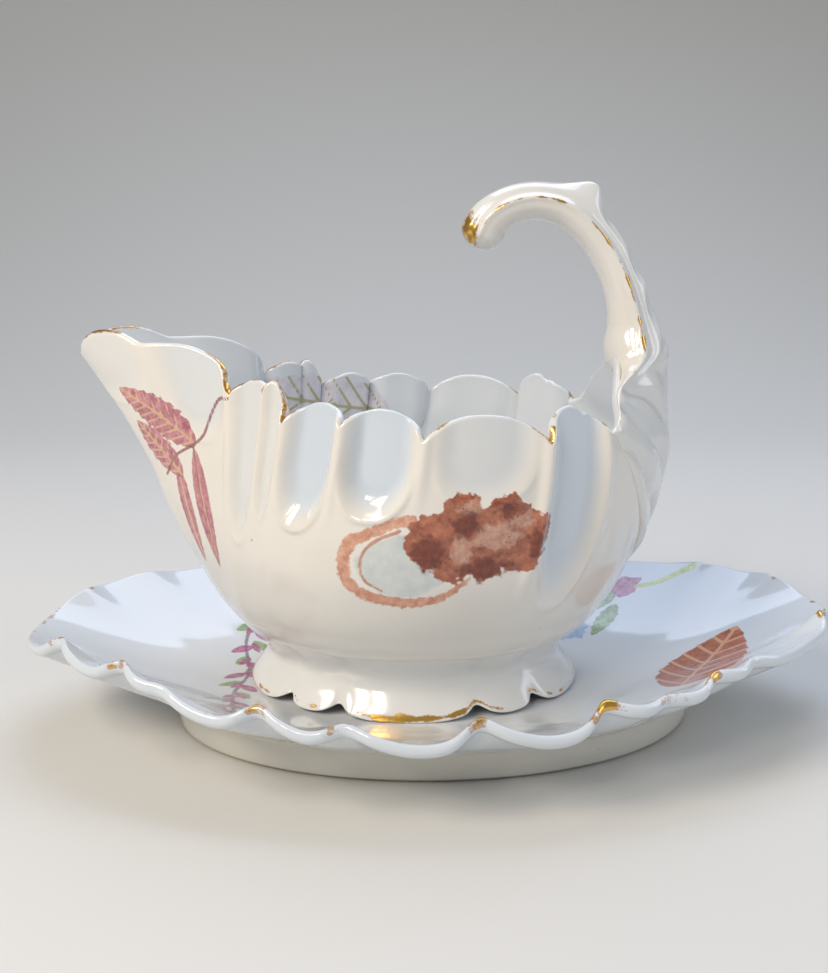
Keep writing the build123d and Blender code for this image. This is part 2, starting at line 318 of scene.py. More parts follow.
def paintBowl(points, outward):
    x, z = points[..., 0], points[..., 2]
    mauve, mauveVein = nowhere, None
    for *leaf, spacing in bowlSprays["mauveLeaves"]:
        shape, along, across = leafShape(x, z, *leaf)
        lines = veinLines(along, across, spacing, 0.8) if spacing else np.abs(across)
        mauveVein = lines if mauveVein is None else np.where(shape > -0.3, lines, mauveVein)
        mauve = np.maximum(mauve, shape)
    # heads run together at uneven edges, with lights and darks that model them
    wander = 0.5 * np.sin(x * 0.9 + z * 0.6) * np.sin(z * 1.15 - x * 0.45)
    flower = wander + together(blobShape(x, z, (hx, hz), (size, size), 0.09, 6, hx)
                               for hx, hz, size in bowlSprays["heads"])
    light, dark = (
        np.minimum(flower, wander + together(blobShape(x, z, (hx, hz), (rx, rz), 0.12, 5, hx)
                                             for hx, hz, rx, rz in bowlSprays[patches]))
        for patches in ("lights", "darks"))
    ribbon = together(strokeShape(x, z, *stroke) for stroke in bowlSprays["ribbon"])
    shapes = {
        "mauve": mauve,
        "stem": together(strokeShape(x, z, *stroke) for stroke in bowlSprays["stems"]),
        "rust": flower,
        "rustLight": light,
        "rustDark": dark,
        "salmon": ribbon,
        "salmonEdge": strokeShape(x, z, *bowlSprays["ribbonEdge"]),
        "oval": np.minimum(blobShape(x, z, *bowlSprays["oval"], 0.05, 4, 2.0), -ribbon),
    }
    fields = {name: np.where(outward > 0, shape, nowhere) for name, shape in shapes.items()}
    innerLeaf, along, across = leafShape(x, z, *bowlSprays["innerLeaf"])
    inside = (outward < 0) & (z > bowlSprays["innerLow"])
    fields["innerLeaf"] = np.where(inside, innerLeaf, nowhere)
    fields["innerVein"] = veinLines(along, across, bowlSprays["innerVeins"], 0.9)
    fields["mauveVein"] = mauveVein
    return fields


def makeBowl():
    columns, rows, underRows, lipRows = (bowl[key] for key in ("columns", "rows", "underRows", "lipRows"))
    angle = fullTurn(columns)
    size = np.abs(angle)
    rim = rimHeight(size)
    waist, waistCentre = bowl["levels"][0][:2]
    share = (np.linspace(0, 1, rows) ** 0.92)[:, None]
    height = waist + (rim - waist) * share
    outer = wallPoint(angle, height)
    outer = outer + surfaceNormals(outer) * 0.12 * waver(outer, 33.0, 1.3)[..., None]

    # underside, from the middle out to the waist
    spread = np.linspace(0.02, 0.985, underRows)[:, None]
    under = np.stack([waistCentre + (outer[0, :, 0] - waistCentre) * spread, outer[0, :, 1] * spread,
                      np.full((underRows, columns), waist + 0.05)], -1)

    # the inside follows the outside at the wall's thickness, with softer flutes
    core = wallPoint(angle, height, bowl["innerRelief"])
    normals = surfaceNormals(core)
    middle = rows // 2
    if (normals[middle, :, 1] * core[middle, :, 1]).sum() < 0:
        normals = -normals
    thickness = bowl["wall"] - bowl["thinnedRim"] * smooth(0.85, 1.0, share)
    inner = (core - normals * thickness[..., None])[bowl["hiddenRows"]:][::-1]
    # the floor rounds out of the lowest row of the inside
    floorShare = np.linspace(0.985, 0.02, bowl["hiddenRows"])[:, None]
    low = inner[-1]
    floorHeight = bowl["floorTop"] + (low[:, 2] - bowl["floorTop"]) * floorShare ** 3.2
    floorX = bowl["floorCentre"] + (low[:, 0] - bowl["floorCentre"]) * floorShare
    floor = np.stack([floorX, low[:, 1] * floorShare, floorHeight], -1)

    lip = roundedLip(outer[-1], inner[0], np.array([0.0, 0.0, 1.0]), lipRows)
    points = np.concatenate([under, outer, lip, inner, floor])
    side = np.concatenate([np.zeros(underRows), np.ones(rows), np.linspace(1, -1, lipRows),
                           -np.ones(len(inner) + len(floor))])
    outward = side[:, None] * np.ones((1, columns))
    fields = paintBowl(points, outward)

    # gilding lies along the lip, thick where hands never reach and worn away elsewhere
    down = np.abs(points[..., 2] - rim - 1.0)
    notches = sum(bell(size - scallop[0], 2.6) for scallop in bowl["scallops"][1:])
    notches = notches + bell(size - bowl["scallops"][-1][1], 2.6)
    worn = 0.02 + 0.25 * np.sin(size * 0.31 + np.sign(angle) * 0.6) + 0.2 * np.sin(size * 0.83 + 1.2)
    worn = worn + 0.45 * notches + 0.5 * bell(size - 170, 6) + 0.3 * bell(size - 140, 6)
    worn = worn - 0.4 * bell(size - 106, 6)
    fields["gilt"] = worn - down / 0.9 - 0.3 * (outward < -0.4)
    # bluish tint: deeper in the flute hollows, as pooled glaze and painted sky reflection, and even over the
    # inside as painted cool shade
    relief = fluteRelief(size, points[..., 2])
    fields["poolAndPaintedSkyLight"] = np.where(outward > 0, np.clip(-relief / 3.0, 0, 1), 0.6)
    return gridPiece("bowlShell", points, fields, "boat", "boat_bowl")


bowlPiece = makeBowl()

# The boat's foot, a low skirt of rounded lobes luted under the bowl.
foot = {
    "bottom": 9.85,
    # height and how far the skirt stands out from the foot's oval
    "profile": (
        (9.85, 8.3), (11.2, 7.2), (13.0, 5.8), (15.0, 4.5), (17.0, 3.5), (19.0, 3.1), (21.0, 3.6),
        (23.0, 5.1), (25.0, 7.2), (27.0, 9.4), (29.0, 11.1), (31.5, 12.8),
    ),
    "centre": -5.5,
    "halfLength": 36.8,
    "halfWidth": 26.4,
    "notches": (43.0, 67.0, 115.0, 137.0),
    "notchDepth": 2.3,
    "notchLift": 3.0,
    "endLift": 2.0,
    "lobe": 0.8,             # how far each lobe swells
    "wall": 3.4,
    "hiddenTop": 22.6,       # the inside of the skirt ends here, within the bowl's floor
    "columns": 480,
    "rows": 56,
    "hiddenRows": 26,
    "lipRows": 7,
}


def footPoint(angle, share, inset):
    size, turn = np.abs(angle), np.radians(angle)
    notch, wide = (sum(bell(size - place, width) for place in foot["notches"]) for width in (3.2, 9.0))
    ends = bell(np.minimum(size, 180 - size), 22.0)
    bottom = foot["bottom"] + foot["notchLift"] * (0.4 * notch + 0.6 * wide) + foot["endLift"] * ends
    heights, flares = np.array(foot["profile"]).T
    top = heights[-1]
    flare = through(heights, flares, top + (heights[0] - top) * share)
    flare = flare - foot["notchDepth"] * notch * share ** 6
    flare = flare + foot["lobe"] * (1 - wide) * np.sin(math.pi * share ** 4)
    x = foot["centre"] + (foot["halfLength"] + flare - inset) * np.cos(turn)
    y = (foot["halfWidth"] + flare * 0.92 - inset) * np.sin(turn)
    return np.stack([x, y, top + (bottom - top) * share], -1)


def makeFoot():
    angle = fullTurn(foot["columns"])
    share = np.linspace(0, 1, foot["rows"])[:, None]
    outer = footPoint(angle, share, 0.0)
    # the inside stops at the bowl's floor, so only its rows below that are kept
    inner = footPoint(angle, share[foot["hiddenRows"]:], foot["wall"])[::-1]
    inner[..., 2] = np.minimum(inner[..., 2] + 0.3, foot["hiddenTop"])
    lip = roundedLip(outer[-1], inner[0], np.array([0.0, 0.0, -0.22]), foot["lipRows"])
    points = np.concatenate([outer, lip, inner])
    size = np.abs(angle)
    worn = 0.12 + 0.25 * np.sin(size * 0.21 + 0.5) + 0.2 * np.sin(size * 0.77)
    worn = worn + 0.8 * smooth(66, 74, size) * (1 - smooth(102, 112, size))
    side = np.concatenate([np.ones(len(outer)), np.linspace(1, -1, len(lip)), -np.ones(len(inner))])[:, None]
    distance = np.abs(points[..., 2] - outer[-1, :, 2] - 0.9)
    # the skirt gets an even light bluish tint, a painted sky reflection on its flare
    fields = {"gilt": worn - distance / 0.9 - 3 * (side < 0.2), "poolAndPaintedSkyLight": 0.3}
    return gridPiece("footSkirt", points, fields, "boat", "boat_foot",
                     wrapRows=True)


footPiece = makeFoot()

# The handle: a pressed leaf on the bowl's end that grows into a curling stem.
handle = {
    # x, z, half thickness and half width of the stem
    "stations": (
        (56.0, 90.0, 6.8, 13.6), (54.2, 96.0, 8.2, 12.6), (53.0, 101.0, 7.8, 10.4), (52.2, 107.0, 6.2, 8.1),
        (50.9, 113.0, 5.3, 7.1), (46.9, 123.0, 4.8, 6.4), (40.8, 131.4, 4.7, 6.2), (33.2, 136.9, 4.7, 6.1),
        (25.2, 138.1, 4.7, 6.0), (18.9, 136.3, 4.9, 5.8), (15.0, 133.4, 5.2, 5.6), (13.4, 130.6, 5.4, 5.6),
    ),
    # leaf on the bowl's end: height, half angle round the bowl and thickness at its spine
    "leaf": (
        (43.0, 0.5, 0.2), (47.0, 8.0, 1.0), (53.0, 16.0, 1.5), (60.0, 24.0, 2.0), (67.0, 31.0, 2.5),
        (74.0, 37.0, 3.1), (80.0, 41.0, 4.2), (84.0, 41.5, 5.6), (88.0, 33.0, 7.4), (92.0, 25.5, 9.0),
        (96.0, 18.5, 11.2), (100.0, 12.0, 13.0), (104.0, 9.0, 13.4),
    ),
    "spineWidth": ((40, 70, 80, 88, 96, 104), (5.0, 8.0, 11.0, 12.5, 11.5, 9.0)),    # heights, widths
    "leafletSpacing": 12.5,
    "leafletRelief": 1.7,
    "leafTop": 101.5,
    "beadSpacing": 7.4,
    "scrollSpacing": 11.0,
    "spur": (40.6, 135.4),
    "spurReach": (0.9, 0.0, 5.0),
    "curlReach": 4.6,
    "curlGold": ((9.6, 131.5), (2.6, 5.0)),
    "columns": 192,
    "stemRows": 260,
    "leafRows": 150,
    "joinRows": 30,
}


def makeHandle():
    columns = handle["columns"]
    b = np.linspace(-90, 270, columns, endpoint=False)
    across = np.where(b <= 90, 1.0, -1.0)
    rise = np.radians(np.where(b <= 90, b, 180 - b))   # -90 inside the loop, +90 on its back
    c, s = np.cos(rise) * across, np.sin(rise)
    degrees = np.degrees(rise)[None, :]

    # stem, square to its spine, with a ridge along each side and beads down its back
    stations = np.array(handle["stations"])
    arcs = np.concatenate([[0], np.cumsum(np.hypot(*np.diff(stations[:, :2], axis=0).T))])
    stemArc = np.linspace(0, arcs[-1], handle["stemRows"])
    sx, sz, thick, wide = (through(arcs, stations[:, k], stemArc) for k in range(4))
    tx, tz = np.gradient(sx, stemArc), np.gradient(sz, stemArc)
    long = np.hypot(tx, tz)
    outX, outZ = tz / long, -tx / long
    arc = stemArc[:, None]
    beads = np.abs(np.sin(arc * math.pi / handle["beadSpacing"] + 0.35 * np.sin(arc * 0.31)))
    scroll = np.cos(arc * 2 * math.pi / handle["scrollSpacing"] - degrees / 26.0)
    leafy = 1 - smooth(24, 44, arc)
    spurArc = stemArc[np.argmin(np.hypot(sx - handle["spur"][0], sz - handle["spur"][1]))]
    offset = arc - spurArc
    beforeSpur = 1 - smooth(-6, 0, offset)
    ridge, groove = bell(degrees - 8, 10.0), bell(degrees - 30, 13.0)
    back, side = bell(degrees - 90, 22.0), bell(degrees - 66, 14.0)
    y = (wide[:, None] * (1 + 0.10 * ridge - 0.10 * groove)) * c
    n = thick[:, None] * s * (1 + 0.06 * back - 0.05 * groove)
    n = n + beforeSpur * (0.55 * back * (beads - 0.5) + 0.75 * side * scroll * (0.4 + 0.6 * leafy))
    stem = np.stack([sx[:, None] + outX[:, None] * n, y, sz[:, None] + outZ[:, None] * n], -1)
    spike = np.where(offset < 0, bell(offset, 2.3), bell(offset, 5.6)) * bell(90 - degrees, 40.0)
    stem = stem + spike[..., None] * np.array(handle["spurReach"])
    stem[..., 1] *= 1 - 0.35 * np.clip(spike, 0, 1)

    # the curl is closed with a dome
    tip, tipCentre = stem[-1], np.array([sx[-1], 0.0, sz[-1]])
    ahead = np.array([tx[-1], 0.0, tz[-1]]) / long[-1] * handle["curlReach"]
    dome = np.stack([tipCentre + (tip - tipCentre) * math.cos(t) + ahead * math.sin(t)
                     for t in np.linspace(0.12, 1.5, 16)])

    # leaf, row by row up the end of the bowl
    leaf = np.array(handle["leaf"])
    heights = np.linspace(leaf[0, 0], handle["leafTop"], handle["leafRows"])
    halfAngle, spine = (through(leaf[:, 0], leaf[:, k], heights)[:, None] for k in (1, 2))
    angle = halfAngle * c[None, :]
    level = heights[:, None] + np.zeros_like(angle)
    step, wallShare = 0.2, 0.6
    wall, aside, above = (
        wallPoint(np.where(turned == 0, 1e-3, turned), raised, wallShare)
        for turned, raised in ((angle, level), (angle + step, level), (angle, level + step)))
    normals = np.cross(aside - wall, above - wall)
    normals /= np.linalg.norm(normals, axis=2, keepdims=True)
    out = np.clip(s, 0, 1)[None, :]
    crossMm = np.abs(wall[..., 1])
    stalk = through(*handle["spineWidth"], heights)[:, None]
    fan = (level - 0.9 * crossMm + 1.2 * np.sin(crossMm * 0.4)) / handle["leafletSpacing"]
    leaflet = np.abs(np.sin(fan * math.pi)) ** 0.9 - 0.5
    fade = smooth(1.5, 7.0, crossMm) * smooth(44, 52, level) * (1 - smooth(88, 97, level))
    fade = fade * np.clip(out * 2.2, 0, 1)
    swell = spine * bell(crossMm, stalk) + 1.0 * out ** 0.5 + handle["leafletRelief"] * leaflet * fade
    swell = swell + 0.5 * bell(crossMm, 1.6) * smooth(46, 56, level) * (1 - smooth(90, 98, level))
    depth = np.where(s[None, :] > 0, swell * out ** 0.35, 1.4 * s[None, :])
    leafRows = wall + normals * depth[..., None]

    # the leaf turns into the stem over its last rows
    start = int(np.argmin(np.abs(sz[:120] - handle["leafTop"])))
    joinRows = handle["joinRows"]
    mix = smooth(0, 1, np.linspace(0, 1, joinRows))[:, None, None]
    stemIndex = np.interp(heights[-joinRows:], sz[:start + 1], np.arange(start + 1))
    i = np.clip(stemIndex.astype(int), 0, start - 1)
    part = (stemIndex - i)[:, None, None]
    stemThere = stem[i] * (1 - part) + stem[i + 1] * part
    leafRows[-joinRows:] = leafRows[-joinRows:] * (1 - mix) + stemThere * mix
    points = np.concatenate([leafRows, stem[start + 1:], dome])

    # gold lines run along both side ridges, and the curl's end is gilded
    stemCount = len(points) - len(leafRows)
    along = np.concatenate([np.linspace(-14, 0, len(leafRows)), np.linspace(0, 75, stemCount)])[:, None]
    worn = 0.3 + 0.3 * np.sin(along * 0.42 + 0.4) + 0.2 * np.sin(along * 1.13)
    gilt = np.where(points[..., 2] > 84, worn - np.abs(degrees - 9) / 9.0, -2.0)
    (goldX, goldZ), (reachX, reachZ) = handle["curlGold"]
    curl = 1.0 - np.hypot((points[..., 0] - goldX) / reachX, (points[..., 2] - goldZ) / reachZ)
    # the outer half of the stem is tinted bluish, a painted sky reflection
    fields = {"gilt": np.maximum(gilt, curl), "poolAndPaintedSkyLight": 0.25 * smooth(-10, 40, degrees)}
    return gridPiece("leafHandle", points, fields, "boat", "boat_handle")


handlePiece = makeHandle()

# The underplate, an oval dish with a pinched and ruffled rim.
plate = {
    "length": 220.0,
    "width": 142.0,
    "thickness": 3.1,
    "wellHeight": 9.6,
    "wellShare": 0.47,
    "endPoint": 0.05,        # how much the oval's ends are drawn out to a point
    "sideRim": 22.0,
    "shoulderRise": 14.0,    # how much higher the rim is towards the ends, and what the tips lose of it
    "tipDrop": 7.4,
    "spoutTipDrop": 2.6,     # the tip under the spout sags a little lower than the other
    # where the rim is pinched in, and how strongly
    "pinches": (
        (-153, 0.75), (-137, 0.85), (-129, 0.5), (-113, 0.95), (-101.5, 0.75), (-84.5, 1.1), (-68, 1.1),
        (-59.5, 0.6), (-50, 0.75), (-42, 0.6), (-16, 0.9), (17, 0.5), (34, 0.2), (48, 0.18), (61, 0.2),
        (75, 0.18), (90, 0.2), (104, 0.18), (118, 0.2), (133, 0.2), (147, 0.2), (163, 0.42),
    ),
    "pinchDepth": 3.0,
    "pinchLift": 4.6,
    "ruffleStart": 0.77,     # share of the way to the rim where the ruffles begin
    "turn": 3.2,             # degrees that the underplate is turned under the boat
    "columns": 720,
    "wellRows": 26,
    "rimRows": 120,
    "lipRows": 9,
}


def degreesFrom(angle, place):
    return (angle - place + 180) % 360 - 180


# Distance in degrees from the nearest pinch, and that pinch's strength.
def nearestPinch(angle):
    places, strengths = np.array(plate["pinches"]).T
    gaps = np.stack([degreesFrom(angle, place) for place in places])
    nearest = np.argmin(np.abs(gaps), 0)
    return np.take_along_axis(gaps, nearest[None], 0)[0], strengths[nearest]


def pinchWave(angle, width):
    return sum(strength * bell(degreesFrom(angle, place), width) for place, strength in plate["pinches"])


def platePoint(angle, share):
    turn = np.radians(angle)
    endPoint = plate["endPoint"]
    endwise = np.abs(np.cos(turn))
    drawnIn = np.abs(np.sin(2 * turn)) ** 2 * 0.5
    nearRim = np.clip((share - plate["ruffleStart"]) / (1 - plate["ruffleStart"]), 0, 1)
    # the fold's crest leans over to one side, as soft clay does when a finger pushes it
    leaning = angle + 1.6 * pinchWave(angle, 4.0) * nearRim ** 2
    pinched = plate["pinchDepth"] * pinchWave(leaning, 2.7) * nearRim ** 2.2
    halfLength = plate["length"] / 2 / (1 + endPoint) * (1 + endPoint * (endwise ** 6 - drawnIn))
    halfWidth = plate["width"] / 2 * (1 - endPoint * drawnIn)
    x = (halfLength * share - pinched) * np.cos(turn)
    y = (halfWidth * share - pinched) * np.sin(turn)
    shoulder = plate["sideRim"] + plate["shoulderRise"] * endwise ** 2.2 - plate["tipDrop"] * endwise ** 12
    shoulder = shoulder - plate["spoutTipDrop"] * bell(180 - np.abs(angle), 22.0)
    rise = (np.clip(share - plate["wellShare"], 0, 1) / (1 - plate["wellShare"])) ** 1.55
    ruffle = plate["pinchLift"] * (pinchWave(leaning, 4.4) - 0.2) * nearRim ** 2.4
    spoon = -0.3 * (1 - pinchWave(angle, 3.5)) * np.sin(math.pi * np.clip((share - 0.6) / 0.38, 0, 1))
    height = plate["wellHeight"] + (shoulder - plate["wellHeight"]) * rise + ruffle + spoon
    return np.stack([x, y, height], -1)


def turnedUnderBoat(points):
    turned = math.radians(plate["turn"])
    c, s = math.cos(turned), math.sin(turned)
    return points @ np.array([[c, s, 0], [-s, c, 0], [0, 0, 1]])


# The sprays on the underplate, in mm from its middle.
plateSprays = {
    # base, tip, width, teeth, how deep they are cut, and bend
    "feather": ((-58.5, -46.0), (-84.0, -32.0), 8.5, 12, 0.45, 1.5),
    "featherRibs": 2.4,
    "greyLeaf": ((-56.0, -22.0), (-80.0, -13.0), 8.0, 0, 0.0, 1.0),
    "russet": ((62.5, -27.0), (88.5, 8.0), 23.0, 7, 0.07, 1.5),
    "russetVeins": 6.4,
    "greens": (
        ((60.5, 42.0), (51.0, 47.0), 5.0), ((60.5, 41.0), (50.5, 36.5), 5.0, 5, 0.2),
        ((59.5, 36.0), (49.5, 24.0), 6.5, 6, 0.2),
    ),
    "pinks": (((60.0, 42.0), (69.5, 43.0), 5.0), ((-52.0, -50.5), (-63.0, -44.0), 3.6)),
    "rosebud": ((63.5, 42.0), (4.0, 4.2), 0.08, 5),
    "blueFlower": ((44.5, 29.5), (4.6, 5.6), 0.22, 5, 0.8),
    "lime": (((67.0, 40.5), (73.0, 38.6), (84.0, 38.0)), 1.4, 2.6),
    # the long spray runs down the plate beside the foot, with leaves and buds at these places on it
    "spray": (((-53.0, 40.0), (-55.0, 22.0), (-52.0, 4.0), (-54.0, -14.0), (-50.5, -38.0)), 0.9, 1.2),
    "sprayX": -53.0,
    "sprayPlaces": (32.0, 23.0, 14.0, 6.0, -3.0, -12.0, -20.0, -27.0, -34.0),
}


def paintPlate(points, outward):
    x, y = points[..., 0], points[..., 1]
    greens = [leafShape(x, y, *leaf)[0] for leaf in plateSprays["greens"]]
    pinks = [leafShape(x, y, *leaf)[0] for leaf in plateSprays["pinks"]]
    pinks.append(blobShape(x, y, *plateSprays["rosebud"]))
    middle = plateSprays["sprayX"]
    for i, place in enumerate(plateSprays["sprayPlaces"]):
        side = 1 if i % 2 else -1
        reach = side * (5.6 + 2.2 * math.sin(i * 2.3))
        greens.append(leafShape(x, y, (middle, place), (middle + reach, place - 5.5), 3.4)[0])
        pinks.append(leafShape(x, y, (middle, place - 3.0), (middle - reach * 0.8, place - 8.0), 3.2)[0])
        pinks.append(leafShape(x, y, (middle, place - 1.0), (middle + side * 2.5, place - 6.0), 2.4)[0])
    feather, featherAlong, featherAcross = leafShape(x, y, *plateSprays["feather"])
    russet, russetAlong, russetAcross = leafShape(x, y, *plateSprays["russet"])
    shapes = {
        "greens": together(greens),
        "pinks": together(pinks),
        "feather": feather,
        "greyLeaf": leafShape(x, y, *plateSprays["greyLeaf"])[0],
        "spray": strokeShape(x, y, *plateSprays["spray"]),
        "lime": strokeShape(x, y, *plateSprays["lime"]),
        "blueFlower": blobShape(x, y, *plateSprays["blueFlower"]),
        "russet": russet,
    }
    fields = {name: np.where(outward > 0, shape, nowhere) for name, shape in shapes.items()}
    fields["featherRib"] = veinLines(featherAlong, featherAcross, plateSprays["featherRibs"], 1.3, 1.0)
    fields["russetVein"] = veinLines(russetAlong, russetAcross, plateSprays["russetVeins"], 0.8, 0.9, 1.1)
    return fields


def makePlate():
    columns, lipRows = plate["columns"], plate["lipRows"]
    angle = fullTurn(columns)
    share = np.concatenate([np.linspace(0.01, 0.45, plate["wellRows"]),
                            np.linspace(0.46, 0.996, plate["rimRows"])])[:, None]
    lowerShare = share[::2][::-1]
    upper = platePoint(angle, share)
    upper = upper + np.array([0, 0, 0.16]) * waver(upper, 41.0, 2.2)[..., None]
    below = platePoint(angle, lowerShare)
    below[..., 2] -= plate["thickness"]
    turn = np.radians(angle[0])
    outwards = np.stack([np.cos(turn), np.sin(turn), np.zeros(columns)], -1)
    lip = roundedLip(upper[-1], below[0], outwards, lipRows, 0.75)
    points = np.concatenate([upper, lip, below])
    side = np.concatenate([np.ones(len(upper)), np.linspace(1, -1, lipRows), -np.ones(len(below))])
    outward = side[:, None] * np.ones((1, columns))
    fields = paintPlate(points, outward)
    # gold sits on the crests of the ruffles
    gap, strength = nearestPinch(angle)
    size = np.abs(angle)
    rows = np.concatenate([share, np.ones((lipRows, 1)), lowerShare])
    fromEdge = (1 - rows) * 78
    worn = strength * bell(gap + 1.6, 2.2) + 0.22 * np.sin(size * 0.37) + 0.22 * np.sin(size * 0.11 + 1)
    fields["gilt"] = worn - 0.25 - np.abs(fromEdge - 0.5) / 1.3 - 0.9 * (outward < -0.2)
    # the dish gets a bluish tint, stronger towards its rim
    fields["poolAndPaintedSkyLight"] = 0.3 + 0.4 * smooth(0.5, 0.95, rows)
    return gridPiece("underplateDish", turnedUnderBoat(points), fields, "underplate",
                     "underplate_dish")


platePiece = makePlate()

# The underplate's foot ring.
footRing = {
    "halfLength": 71.4,
    "halfWidth": 47.2,
    # distance inwards from the widest oval, and height
    "section": (
        (1.9, 0.0), (1.2, 0.3), (0.7, 1.0), (0.35, 2.4), (0.1, 4.2), (0.15, 6.2), (0.25, 7.6), (-0.4, 8.4),
        (-1.6, 9.2), (0.4, 10.0), (4.4, 10.0), (6.6, 9.0), (5.3, 8.0), (4.7, 6.6), (4.4, 4.0), (4.1, 1.4),
        (3.8, 0.3), (3.2, 0.0),
    ),
    "landHeight": 0.7,       # the wiped foot is bare up to here
    "columns": 400,
    "rows": 110,
}


def makeFootRing():
    angle = np.radians(fullTurn(footRing["columns"]))
    section = np.array(footRing["section"])
    closed = np.vstack([section, section[:1]])
    at = np.linspace(0, len(section), footRing["rows"], endpoint=False)
    # the section's corners are rounded by averaging each row with its four neighbours
    inset, height = (
        np.convolve(np.concatenate([row[-2:], row, row[:2]]), np.ones(5) / 5, "valid")
        for row in (np.interp(at, np.arange(len(closed)), closed[:, k]) for k in range(2)))
    height = np.maximum(height - height.min(), 0)[:, None]
    x = (footRing["halfLength"] - inset[:, None]) * np.cos(angle)
    y = (footRing["halfWidth"] - inset[:, None]) * np.sin(angle)
    points = np.stack([x, y, height + np.zeros_like(x)], -1)
    points[..., :2] *= 1 + 0.0012 * np.sin(angle * 5 + 1)[..., None]
    # the ring gets only a faint even bluish tint
    fields = {"gilt": -3.0, "poolAndPaintedSkyLight": 0.1, "land": 1.0 - height / footRing["landHeight"]}
    return gridPiece("footRing", turnedUnderBoat(points), fields, "underplate",
                     "underplate_foot_ring", wrapRows=True)


ringPiece = makeFootRing()


def addNode(tree, kind, inputs=None, **settings):
    made = tree.nodes.new(kind)
    for name, value in settings.items():
        setattr(made, name, value)
    for socket, value in (inputs or {}).items():
        if isinstance(value, bpy.types.NodeSocket):
            tree.links.new(value, made.inputs[socket])
        else:
            made.inputs[socket].default_value = value
    return made


# One painted colour over what is below it, stippled from a deep to a light tone by a grain in mm.
def paintOver(tree, below, place, field, deep, light, strength=1.0, edge=0.12, ragged=0.25, grain=1.6):
    shape = addNode(tree, "ShaderNodeAttribute", attribute_name=field)
    rough = addNode(tree, "ShaderNodeTexNoise", {"Vector": place, "Scale": 1 / (1.3 * mm), "Detail": 3.0})
    nudged = addNode(tree, "ShaderNodeMath", {0: rough.outputs["Fac"], 1: -0.5}, operation="ADD")
    spread = addNode(tree, "ShaderNodeMath", {0: nudged.outputs[0], 1: ragged * 2, 2: shape.outputs["Fac"]},
                     operation="MULTIPLY_ADD")
    cover = addNode(tree, "ShaderNodeMapRange", {
        "Value": spread.outputs[0], "From Min": -edge, "From Max": edge, "To Max": strength},
        interpolation_type="SMOOTHSTEP")
    stipple = addNode(tree, "ShaderNodeTexNoise", {
        "Vector": place, "Scale": 1 / (grain * mm), "Detail": 5.0, "Roughness": 0.7})
    ramp = addNode(tree, "ShaderNodeMapRange", {
        "Value": stipple.outputs["Fac"], "From Min": 0.34, "From Max": 0.66})
    colour = addNode(tree, "ShaderNodeMix", {
        "Factor": ramp.outputs[0], 6: linear(deep), 7: linear(light)}, data_type="RGBA")
    return addNode(tree, "ShaderNodeMix", {
        "Factor": cover.outputs[0], 6: below, 7: colour.outputs[2]}, data_type="RGBA").outputs[2]


# Lines of a second colour inside a painted shape, such as veins.
def lineOver(tree, below, field, lines, colour, width, strength=0.8):
    shape = addNode(tree, "ShaderNodeAttribute", attribute_name=field)
    line = addNode(tree, "ShaderNodeAttribute", attribute_name=lines)
    inShape = addNode(tree, "ShaderNodeMapRange", {
        "Value": shape.outputs["Fac"], "From Min": 0.0, "From Max": 0.25, "To Max": strength})
    near = addNode(tree, "ShaderNodeMapRange", {
        "Value": line.outputs["Fac"], "From Min": width * 0.5, "From Max": width,
        "To Min": 1.0, "To Max": 0.0})
    cover = addNode(tree, "ShaderNodeMath", {0: inShape.outputs[0], 1: near.outputs[0]},
                    operation="MULTIPLY")
    return addNode(tree, "ShaderNodeMix", {
        "Factor": cover.outputs[0], 6: below, 7: linear(colour)}, data_type="RGBA").outputs[2]


# Fine dark dots of enamel inside a painted shape, as a stippling brush leaves them in patches.
def stippleOver(tree, below, place, field, colour, spacing, strength):
    shape = addNode(tree, "ShaderNodeAttribute", attribute_name=field)
    inShape = addNode(tree, "ShaderNodeMapRange", {
        "Value": shape.outputs["Fac"], "From Min": 0.6, "From Max": 2.0, "To Max": strength})
    dots = addNode(tree, "ShaderNodeTexVoronoi", {"Vector": place, "Scale": 1 / (spacing * mm)})
    dot = addNode(tree, "ShaderNodeMapRange", {
        "Value": dots.outputs["Distance"], "From Min": 0.12, "From Max": 0.3, "To Min": 1.0, "To Max": 0.0})
    patches = addNode(tree, "ShaderNodeTexNoise", {"Vector": place, "Scale": 1 / (4.0 * mm), "Detail": 2.0})
    patch = addNode(tree, "ShaderNodeMapRange", {
        "Value": patches.outputs["Fac"], "From Min": 0.45, "From Max": 0.6})
    both = addNode(tree, "ShaderNodeMath", {0: dot.outputs[0], 1: patch.outputs[0]}, operation="MULTIPLY")
    cover = addNode(tree, "ShaderNodeMath", {0: both.outputs[0], 1: inShape.outputs[0]},
                    operation="MULTIPLY")
    return addNode(tree, "ShaderNodeMix", {
        "Factor": cover.outputs[0], 6: below, 7: linear(colour)}, data_type="RGBA").outputs[2]


glaze = {
    "body": "#ece8e1",       # hard-paste porcelain under a clear glaze
    "mottle": "#e3ded4",
    "mottleSize": 26,        # mm
    "poolAndPaintedSkyLight": "#cfd9e3",       # glaze lies thicker and bluer in the hollows; the tint also serves as painted sky reflection and painted cool shade
    "speck": "#5b4a3c",
    "speckSpacing": 15,      # mm
    "gold": "#e3b052",
    "oldGold": "#a5743a",
    "goldGrain": 2.6,        # mm between worn patches
    "roughness": 0.1,
    "waveSize": 8,           # mm
}
